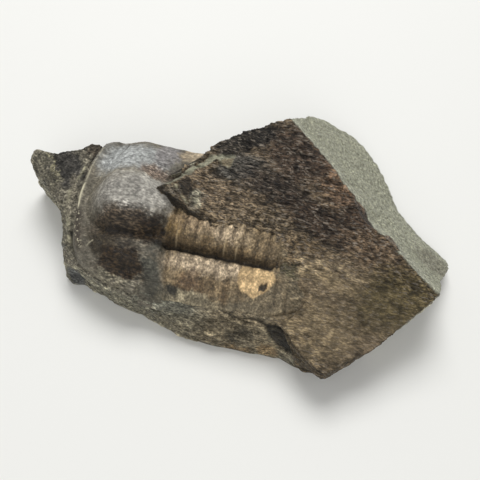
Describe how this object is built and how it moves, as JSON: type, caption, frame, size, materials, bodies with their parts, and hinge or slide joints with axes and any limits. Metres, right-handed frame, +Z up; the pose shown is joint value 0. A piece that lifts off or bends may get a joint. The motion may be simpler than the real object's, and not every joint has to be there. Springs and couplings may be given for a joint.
{
  "type": "trilobite fossil in shale",
  "caption": "Trilobite fossil on a broken piece of grey-brown shale: domed head shield and ringed body, with the tail still under a higher layer of the rock; lies on a flat base.",
  "frame": {"origin": "middle of the bounding box, on the flat base", "axes": "+X along the fossil from its head to its tail, which is also the block's longest way; +Y towards the side where the rock stands highest; +Z up"},
  "size_m": [0.0564, 0.0386, 0.0128],
  "materials": {
    "shale": "rough and matt, stained black and brown on the higher layer, grey-green on the fresh fracture",
    "fossil": "fine-grained with a faint sheen, brown and blue-grey on the head, pale brown on the thorax"
  },
  "bodies": {
    "root": {"rock_matrix": "shale", "trilobite": "fossil"}
  },
  "joints": []
}
